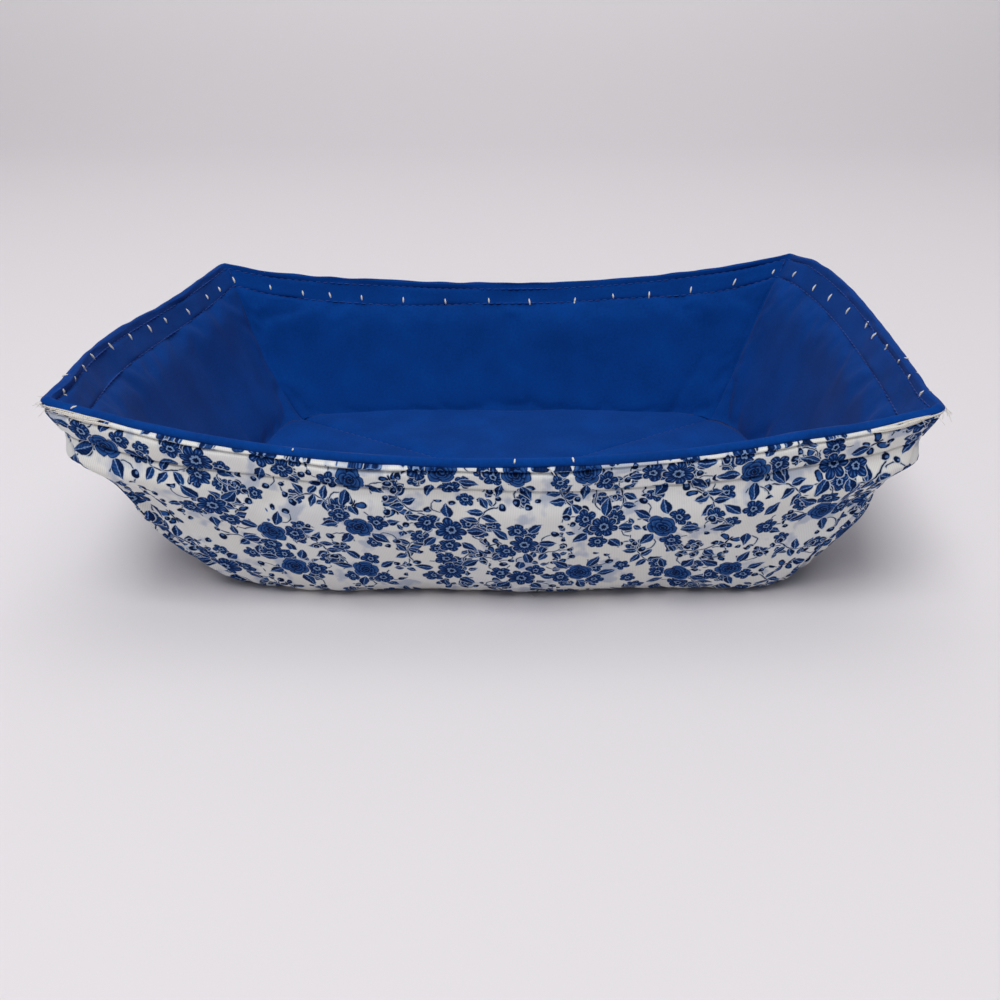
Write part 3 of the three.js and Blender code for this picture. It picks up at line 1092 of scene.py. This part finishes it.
def split(vector):
    return [Field(output) for output in add_node(vector.tree, "SeparateXYZ", {0: vector}).outputs]


def noise(place, length, detail=2.0, output="Fac"):
    """Uneven values about a half, on a scale of that length."""
    inputs = {"Vector": vector_math("SCALE", place, 1 / length), "Scale": 1.0, "Detail": detail}
    return made(place.tree, "TexNoise", inputs, output, noise_dimensions="2D")


def warped(place, length, amount):
    wander = vector_math("SUBTRACT", noise(place, length, output="Color"), (0.5, 0.5, 0.5))
    return vector_math("ADD", place, vector_math("SCALE", wander, amount))


def cloth_place(tree):
    """The place on the flat cut, in millimetres."""
    return vector_math("SCALE", made(tree, "UVMap", uv_map="cloth"), 1 / MM)


def srgb(*values):
    """A colour as it looks on a screen, from 0 to 255, as the linear values that shaders take."""
    shares = np.array(values) / 255
    linear = np.where(shares <= 0.04045, shares / 12.92, ((shares + 0.055) / 1.055) ** 2.4)
    return (*linear.tolist(), 1.0)


def new_material(name):
    material = bpy.data.materials.new(name)
    material.use_nodes = True
    tree = material.node_tree
    return material, tree, tree.nodes["Principled BSDF"]


def bump(height, distance, strength):
    inputs = {"Height": height, "Distance": distance * MM, "Strength": strength}
    return made(height.tree, "Bump", inputs)


# Plain weave: warp and weft threads that pass over and under each other

WEAVE_PITCH = 0.42
WEAVE_WANDER_LENGTH = 6.0
WEAVE_WANDER = 0.25
WEAVE_BUMP = (0.07, 0.6)


def weave(place):
    """Height of the weave, from none between the threads to one on top of them, and the warp's own ridges."""
    wandering = split(warped(place, WEAVE_WANDER_LENGTH, WEAVE_WANDER))
    warp, weft = ((run * (TURN / WEAVE_PITCH)).math("SINE") for run in wandering[:2])
    return warp * weft * 0.25 + warp * 0.15 + 0.5, warp


# Printed motifs: each gives its signed distance, and its tone from none, the darkest ink, to one, the palest

KEYLINE = 0.42
INK_EDGE = 0.09


class Ink:
    """Ink laid on cloth, motif over motif, with a bare line round each one."""

    def __init__(self, tree):
        self.cover = made(tree, "Value")
        self.cover.socket.default_value = 0.0
        self.tone = self.cover
        self.bare = 1 - self.cover

    def lay(self, motif):
        distance, tone = motif
        inside = distance.ramp(INK_EDGE, -INK_EDGE)
        away = distance.ramp(0.0, KEYLINE)
        self.cover = self.cover * away + inside
        self.bare = self.bare * away
        self.tone = self.tone.blend(tone, inside)

    def strew(self, motif, place, *spots):
        for spot in spots:
            self.lay(motif(place, *spot))


def seen_from(place, x, y, turn=0.0):
    """A place as a motif sees it from its own middle and heading."""
    return split(turned(vector_math("SUBTRACT", place, (x, y, 0.0)), -turn))[:2]


def reach_of(a, b):
    return (a * a + b * b).math("SQRT")


def polar(place, x, y, turn):
    """The reach and the angle of a place, as a motif sees it."""
    a, b = seen_from(place, x, y, turn)
    return reach_of(a, b), b.math("ARCTAN2", a)


def blossom(place, x, y, radius, turn=0.0, petals=5):
    reach, angle = polar(place, x, y, turn)
    lobe = abs((angle * (petals / 2)).math("COSINE"))
    edge = lobe.math("POWER", 0.55) * (0.36 * radius) + 0.64 * radius
    share = reach / edge
    streak = (angle * (petals * 3)).math("SINE").ramp(-0.2, 0.9)
    petal = share.ramp(0.25, 0.75) * share.ramp(1.0, 0.8) * (streak * 0.4 + 0.22)
    heart = share.ramp(0.16, 0.22) * share.ramp(0.4, 0.32) * 0.85
    return reach - edge, petal * lobe.ramp(0.0, 0.35) + heart


# Size, count of petals, heading and depth of the notches, for each ring of petals from the outside in
ROSE_PETALS = ((1.0, 5, 0.0, 0.1), (0.72, 4, 0.7, 0.14), (0.46, 3, 0.2, 0.16), (0.22, 2, 0.9, 0.1))


def rose(place, x, y, radius, turn=0.0):
    """Rings of petals, one inside another, each paler towards its edge and outlined."""
    reach, angle = polar(place, x, y, turn)
    outline = None
    tone = None
    for share_of_radius, petals, heading, depth in ROSE_PETALS:
        size = share_of_radius * radius
        lobe = abs(((angle + heading) * (petals / 2)).math("COSINE")).math("POWER", 0.6)
        edge = lobe * (2 * depth * size) + (1 - 1.4 * depth) * size
        share = reach / edge
        petal = share.ramp(0.55, 0.9) * share.ramp(1.0, 0.9) * lobe.ramp(0.05, 0.6) * 0.55
        if outline is None:
            outline = reach - edge
            tone = petal
        else:
            tone = tone.blend(petal, share.ramp(1.02, 0.98))
    return outline, tone


def leaf(place, x, y, length, width, turn):
    a, b = seen_from(place, x, y, turn)
    share = (a / length).math("MINIMUM", 1.4)
    half = share * (1 - share) * (1.35 - share * 0.7) * (4 * width)
    across = abs(b)
    rib = (a * 1.05 + across * 0.9).math("FRACT").ramp(0.55, 0.85)
    vein = across.ramp(0.22, 0.1)
    flesh = b.ramp(-0.05, 0.05) * 0.22 + 0.08
    tone = (flesh + rib * 0.16 + vein * 0.5) * (across / (half + 0.01)).ramp(1.05, 0.7)
    return across - half, tone


def berry(place, x, y, radius):
    a, b = seen_from(place, x, y)
    shine = reach_of(a + 0.3 * radius, b - 0.3 * radius)
    return reach_of(a, b) - radius, shine.ramp(0.55 * radius, 0.3 * radius) * 0.7


def tendril(place, x, y, radius, middle, span, width=0.16):
    """An arc about a middle point, from one side of a heading to the other."""
    reach, angle = polar(place, x, y, middle)
    off_line = abs(reach - radius) - width
    beyond = (abs(angle) - span / 2) * radius
    return off_line.math("MAXIMUM", beyond), off_line * 0.0


def butterfly(place, x, y, size, turn):
    a, b = seen_from(place, x, y, turn)
    across = abs(b)
    fore = reach_of((a - 0.42 * size - across * 0.35) / 0.62, across - 0.75 * size) - 0.66 * size
    hind = reach_of((a + 0.48 * size + across * 0.2) / 0.8, across - 0.55 * size) - 0.46 * size
    wings = fore.math("MINIMUM", hind)
    body = (across - 0.1 * size).math("MAXIMUM", abs(a) - 0.95 * size)
    spots = (wings / size).ramp(-0.14, -0.3) * 0.55
    return wings.math("MINIMUM", body), spots * body.ramp(0.0, 0.12 * size)


def scattered(place, size, jitter, shift):
    """Places seen from the middle of a cell each, turned and mirrored by chance, with one more chance."""
    tree = place.tree
    grid = vector_math("SCALE", vector_math("ADD", place, shift), 1 / size)
    inputs = {"Vector": grid, "Scale": 1.0, "Randomness": jitter}
    cells = add_node(tree, "TexVoronoi", inputs, voronoi_dimensions="2D")
    local = vector_math("SUBTRACT", grid, Field(cells.outputs["Position"]))
    chances = add_node(tree, "SeparateColor", {0: Field(cells.outputs["Color"])})
    heading, side, chance = (Field(output) for output in chances.outputs)
    a, b = split(turned(vector_math("SCALE", local, size / MOTIF_SCALE), heading * TURN))[:2]
    mirror = side.math("GREATER_THAN", 0.5) * 2 - 1
    return made(tree, "CombineXYZ", {0: a * mirror, 1: b}), chance


FAR = 50.0
CHANCE_EDGE = 0.01


def by_chance(motif, chance, low, high):
    """A motif that shows only in the cells whose chance lies between low and high."""
    distance, tone = motif
    shown = chance.ramp(low - CHANCE_EDGE, low) * chance.ramp(high + CHANCE_EDGE, high)
    return distance + (1 - shown) * FAR, tone


def posy(ink, place, chance):
    """A spray: a rose or a large blossom in the middle, two blossoms, leaves, and tendrils with berries."""
    ink.strew(tendril, place, (-6.0, -6.6, 3.4, 2.0, 4.2), (6.6, 7.4, 3.2, -1.2, 3.6))
    ink.strew(tendril, place, (7.6, -5.2, 3.0, 1.1, 3.4))
    ink.strew(berry, place, (-9.4, -5.2, 1.15), (-8.6, -8.8, 0.95), (-5.4, -10.2, 0.85))
    ink.strew(berry, place, (9.8, 7.0, 1.1), (7.6, 10.4, 0.9), (10.4, -6.2, 1.1), (7.2, -8.4, 0.9))
    ink.strew(leaf, place, (3.4, -2.6, 6.4, 1.55, -0.75), (-2.8, -3.0, 6.2, 1.5, -2.15))
    ink.strew(leaf, place, (-5.6, 1.6, 5.6, 1.4, 3.4), (0.6, 5.4, 5.6, 1.4, 1.75), (8.4, 2.2, 4.6, 1.2, 0.3))
    ink.strew(blossom, place, (-4.4, 4.8, 3.1, 0.4), (6.0, 2.6, 3.4, 1.0))
    ink.lay(by_chance(rose(place, 0.0, 0.0, 4.1), chance, 0.0, 0.5))
    ink.lay(by_chance(blossom(place, 0.0, 0.0, 4.4, 0.3, 7), chance, 0.52, 1.0))


# Place and heading of each leaf on the twig
TWIG_LEAVES = ((-3.0, -0.2, 2.2), (-1.2, 0.2, 1.0), (0.2, 0.0, -1.9), (2.4, -0.4, 1.2), (3.2, -0.8, -1.4))


def branch(ink, place):
    """A bent twig with paired leaves, a blossom at one end and berries at the other."""
    ink.strew(tendril, place, (0.0, -9.0, 9.0, 1.57, 1.7, 0.2), (-6.6, 1.4, 2.6, -2.6, 3.2))
    ink.strew(berry, place, (-6.4, -3.4, 1.1), (-8.4, -1.2, 0.9), (-9.0, 2.4, 0.95))
    for x, y, turn in TWIG_LEAVES:
        ink.lay(leaf(place, x, y, 4.6, 1.15, turn))
    ink.lay(blossom(place, 6.6, -2.6, 2.9, 0.2, 6))


def fillers(ink, place, chance):
    """Single motifs between the sprays: a blossom, a butterfly or a sprig, by chance."""
    ink.lay(by_chance(blossom(place, 0.0, 0.0, 2.5, 0.7), chance, 0.0, 0.44))
    ink.lay(by_chance(butterfly(place, 0.0, 0.0, 2.7, 0.0), chance, 0.56, 0.77))
    for x, y, turn in ((0.4, 0.0, 0.2), (-0.2, 0.3, 1.9), (-0.3, -0.3, -2.2)):
        ink.lay(by_chance(leaf(place, x, y, 3.0, 0.8, turn), chance, 0.79, 1.0))


# Materials

GROUND = srgb(234, 236, 237)
GROUND_WARM = srgb(231, 228, 221)
BLEED = srgb(170, 190, 218)
WASH = srgb(136, 158, 196)
INK_STOPS = (
    (0.0, srgb(7, 22, 54)),
    (0.22, srgb(15, 46, 100)),
    (0.55, srgb(42, 88, 154)),
    (1.0, srgb(150, 176, 208)),
)
# The deeper lining blue serves both as tone that differs at random and as painted shade between the threads
LINING_BLUE = srgb(4, 66, 148)
LINING_DEEP_AND_PAINTED_SHADE = srgb(3, 50, 118)
# The second batting colour is painted shade, for the hollows of the felt
BATT_CREAM = srgb(240, 235, 223)
BATT_PAINTED_SHADE = srgb(224, 216, 200)
# Each thread's second colour is painted shade, for the grooves between its plies
THREAD_WHITE = srgb(236, 233, 226)
THREAD_WHITE_PAINTED_SHADE = srgb(206, 200, 190)
THREAD_BLUE = srgb(10, 62, 150)
THREAD_BLUE_PAINTED_SHADE = srgb(6, 42, 110)
COTTON = {"Roughness": 0.92, "Specular IOR Level": 0.06, "Sheen Roughness": 0.5}

# The print: cells of the scatter, and how far its lines wander from place to place
SPRAY_CELL = 19.5
SPRAY_JITTER = 0.4
FILLER_CELL = 8.2
FILLER_JITTER = 0.5
FILLER_SHIFT = (3.1, 7.7, 0.0)
MOTIF_SCALE = 0.86
DRIFT_LENGTH = 75.0
DRIFT = 7.0
WOBBLE_LENGTH = 2.8
WOBBLE = 1.1

# Unevenness of the cloths, in millimetres and shares; a bump has a depth and a strength
GROUND_LENGTH = 30.0
WASH_LENGTH = 8.0
WASH_SPAN = (0.56, 0.7)
WASH_SHARE = 0.5
BLEED_SHARE = 0.6
PATCH_LENGTH = 1.3
PATCH_SHARE = 0.22
CLOUD_LENGTH = 14.0
SLUB_LENGTH = 0.9
FELT_LENGTH = 1.6
FELT_BUMP = (0.3, 0.8)

# Turns of the thread's plies to a millimetre along it and to a millimetre round it
PLY_ALONG = 2.2
PLY_ROUND = 1.87
PLY_BUMP = (0.06, 0.7)


def floral(place):
    """The print's ink: single motifs, twigs over them and sprays on top."""
    ink = Ink(place.tree)
    fillers(ink, *scattered(place, FILLER_CELL, FILLER_JITTER, FILLER_SHIFT))
    spot, _ = scattered(place, SPRAY_CELL, SPRAY_JITTER, (SPRAY_CELL / 2, SPRAY_CELL / 2, 0.0))
    branch(ink, spot)
    posy(ink, *scattered(place, SPRAY_CELL, SPRAY_JITTER, (0.0, 0.0, 0.0)))
    return ink


def ink_colour(tone):
    node = add_node(tone.tree, "ValToRGB", {0: tone})
    stops = node.color_ramp.elements
    while len(stops) < len(INK_STOPS):
        stops.new(0.5)
    for stop, (position, colour) in zip(stops, INK_STOPS):
        stop.position = position
        stop.color = colour
    return Field(node.outputs[0])


def printed_cotton():
    material, tree, shader = new_material("printed_cotton")
    place = cloth_place(tree)
    drawn = warped(warped(place, DRIFT_LENGTH, DRIFT), WOBBLE_LENGTH, WOBBLE)
    ink = floral(drawn)
    patchy = (noise(place, PATCH_LENGTH) - 0.5) * PATCH_SHARE
    ground = noise(place, GROUND_LENGTH).colour(GROUND, GROUND_WARM)
    wash = noise(drawn, WASH_LENGTH).ramp(*WASH_SPAN) * WASH_SHARE
    bled = ((1 - ink.bare) * BLEED_SHARE).colour(wash.colour(ground, WASH), BLEED)
    inked = ink.cover.colour(bled, ink_colour(ink.tone + patchy))
    height, warp = weave(place)
    # Painted shade and light of the weave: the colour is darker between the threads, lighter on top of them
    # and along the warp
    inputs = {0: 1.0, 6: inked, 7: warp * 0.045 + height * 0.08 + 0.92}
    with_painted_weave_shade = made(tree, "Mix", inputs, 2, data_type="RGBA", blend_type="MULTIPLY")
    feed(shader, {**COTTON, "Base Color": with_painted_weave_shade, "Normal": bump(height, *WEAVE_BUMP), "Sheen Weight": 0.02})
    return material


def plain_cotton(name, first, second):
    material, tree, shader = new_material(name)
    place = cloth_place(tree)
    height, _ = weave(place)
    slub = noise(place, SLUB_LENGTH, 1.0)
    # Deeper blue where the weave and the slubs lie low, paler where they stand high: painted shade in the
    # cloth's hollows; the slow clouds are tone that differs at random
    share = noise(place, CLOUD_LENGTH) * 0.5 + slub * 0.35 + height * 0.35 - 0.25
    colour = share.ramp(0.0, 0.8).colour(second, first)
    normal = bump(height + slub * 0.4, *WEAVE_BUMP)
    feed(shader, {**COTTON, "Base Color": colour, "Normal": normal, "Sheen Weight": 0.03})
    return material


def batting_felt():
    material, tree, shader = new_material("cotton_batting")
    place = vector_math("SCALE", made(tree, "TexCoord", output="Object"), 1 / MM)
    fibre = noise(place, FELT_LENGTH, 5.0)
    # Painted shade in the felt: darker where its fibres lie low in the bump, paler where they stand high
    colour = fibre.colour(BATT_PAINTED_SHADE, BATT_CREAM)
    feed(shader, {"Base Color": colour, "Normal": bump(fibre, *FELT_BUMP), "Roughness": 1.0})
    return material


def thread(name, first, second):
    """Two plies twisted together, seen as slanting ridges, with painted shade in the grooves between them."""
    material, tree, shader = new_material(name)
    u, v = split(cloth_place(tree))[:2]
    twist = ((u * PLY_ALONG + v * PLY_ROUND) * TURN).math("SINE") * 0.5 + 0.5
    colour = twist.colour(second, first)
    feed(shader, {"Base Color": colour, "Normal": bump(twist, *PLY_BUMP), "Roughness": 0.7})
    return material


# Assembly


def dress(piece, material, slot, *nodes):
    piece.data.materials.append(material)
    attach(piece, "root")
    if nodes:
        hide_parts(*nodes)
    return piece


CORNER_NAMES = ("front_left", "front_right", "back_right", "back_left")

white = (thread("sewing_thread", THREAD_WHITE, THREAD_WHITE_PAINTED_SHADE), "sewing_thread")
blue = (thread("lining_thread", THREAD_BLUE, THREAD_BLUE_PAINTED_SHADE), "lining_thread")
felt = (batting_felt(), "cotton_batting")

outer_moves = None
lining_moves = None
outer_moves = simulated_moves(outer_offset, False)
lining_moves = simulated_moves(lining_offset, True)

panel = printed_panel(outer_moves)
dress(panel, printed_cotton(), "printed_cotton", "outer_panel")
lining = lining_panel(lining_moves)
dress(lining, plain_cotton("lining_cotton", LINING_BLUE, LINING_DEEP_AND_PAINTED_SHADE), "lining_cotton", "lining_panel")
first_batt = dress(outer_batt(), *felt, "outer_batting")
second_batt = dress(lining_batt(), *felt, "lining_batting")

dress(rim_row("edge_row_stitches", EDGE_ROW, False), *white, "edge_row_needle_thread")
dress(rim_row("band_row_stitches", BAND_ROWS, False), *white, "band_row_needle_thread")
dress(rim_row("edge_row_inside", EDGE_ROW, True), *blue, "edge_row_bobbin_thread")
dress(rim_row("band_row_inside", BAND_ROWS, True), *blue, "band_row_bobbin_thread")
dress(quilting_rows("quilting_under", LOFT, -1), *white, "outer_quilting_thread")
dress(quilting_rows("quilting_inside", LOFT + PACK, 1), *blue, "lining_quilting_thread")
for corner, corner_name in enumerate(CORNER_NAMES):
    outer_dart = dart_row(f"outer_dart_{corner_name}", corner, -LIP_SEAT)
    dress(outer_dart, *white, f"outer_dart_thread_{corner_name}")
    lining_dart = dart_row(f"lining_dart_{corner_name}", corner, LIP_SEAT - PACK)
    dress(lining_dart, *blue, f"lining_dart_thread_{corner_name}")
for loose_piece in (rim_tacks(), ear_tacks(), ear_fibres(), thread_tails()):
    dress(loose_piece, *white)

# Stage, in metres: a pale floor that sweeps up into a backdrop, soft light from above and a camera in front

FLOOR_REACH = 1.6
BACKDROP_AT = 0.85
BACKDROP_RADIUS = 0.35
BACKDROP_HEIGHT = 1.6
SWEEP_STEPS = 24
FLOOR_PALE = srgb(224, 220, 223)
# The backdrop's paler colour is painted light, where the lamps reach it less
BACKDROP_PALER_PAINTED_LIGHT = srgb(250, 246, 249)


def floor_paint():
    material, tree, shader = new_material("floor")
    # Painted light: the sweep turns paler as it rises from the floor into the backdrop
    upright = split(made(tree, "NewGeometry"))[2].ramp(0.0, BACKDROP_RADIUS)
    feed(shader, {"Base Color": upright.colour(FLOOR_PALE, BACKDROP_PALER_PAINTED_LIGHT), "Roughness": 0.9})
    return material


def sweep():
    """Floor, a quarter round and a wall, as one bent sheet."""
    profile = [(-FLOOR_REACH, 0.0)]
    for step in range(SWEEP_STEPS + 1):
        angle = math.pi / 2 * step / SWEEP_STEPS
        y = BACKDROP_AT + BACKDROP_RADIUS * math.sin(angle)
        z = BACKDROP_RADIUS * (1 - math.cos(angle))
        profile.append((y, z))
    profile.append((BACKDROP_AT + BACKDROP_RADIUS, BACKDROP_HEIGHT))
    vertices = [(x, y, z) for y, z in profile for x in (-FLOOR_REACH, FLOOR_REACH)]
    faces = [[2 * k, 2 * k + 1, 2 * k + 3, 2 * k + 2] for k in range(len(profile) - 1)]
    piece = new_piece("floor", np.array(vertices) / MM, faces)
    piece.data.materials.append(floor_paint())


def area_light(name, place, target, size, power):
    data = bpy.data.lights.new(name, "AREA")
    data.shape = "SQUARE"
    data.size = size
    data.energy = power
    light = placed(name, data)
    light.location = place
    light.rotation_mode = "QUATERNION"
    light.rotation_quaternion = (Vector(target) - Vector(place)).to_track_quat("-Z", "Y")


CAMERA_PLACE = (0.0015, -0.3107, 0.1483)
CAMERA_PITCH = 25.85
CAMERA_LENS = 37.44


def camera():
    data = bpy.data.cameras.new("camera")
    data.lens = CAMERA_LENS
    data.sensor_width = 36.0
    data.clip_start = 0.01
    data.clip_end = 20.0
    eye = placed("camera", data)
    eye.location = CAMERA_PLACE
    eye.rotation_euler = (math.radians(90 - CAMERA_PITCH), 0, 0)
    bpy.context.scene.camera = eye


SKY = (0.95, 0.96, 1.0, 1.0)
SKY_STRENGTH = 0.22
PAST_STAGE = srgb(214, 210, 213)


def surroundings():
    """Soft light from all round, and a pale colour where the camera sees past the stage."""
    world = bpy.data.worlds.new("studio")
    world.use_nodes = True
    tree = world.node_tree
    path = add_node(tree, "LightPath")
    seen = Field(path.outputs["Is Camera Ray"])
    for ray in ("Is Glossy Ray", "Is Transmission Ray"):
        seen = seen.math("MAXIMUM", Field(path.outputs[ray]))
    strength = seen * (1 - SKY_STRENGTH) + SKY_STRENGTH
    feed(tree.nodes["Background"], {"Color": seen.colour(SKY, PAST_STAGE), "Strength": strength})
    bpy.context.scene.world = world
    bpy.context.scene.view_settings.view_transform = "Standard"


sweep()
area_light("key", place=(-0.25, -0.75, 1.45), target=(0, 0, 0), size=0.8, power=17.0)
area_light("top", place=(0.1, 0.3, 1.5), target=(0, 0.2, 0), size=1.3, power=6.8)
camera()
surroundings()
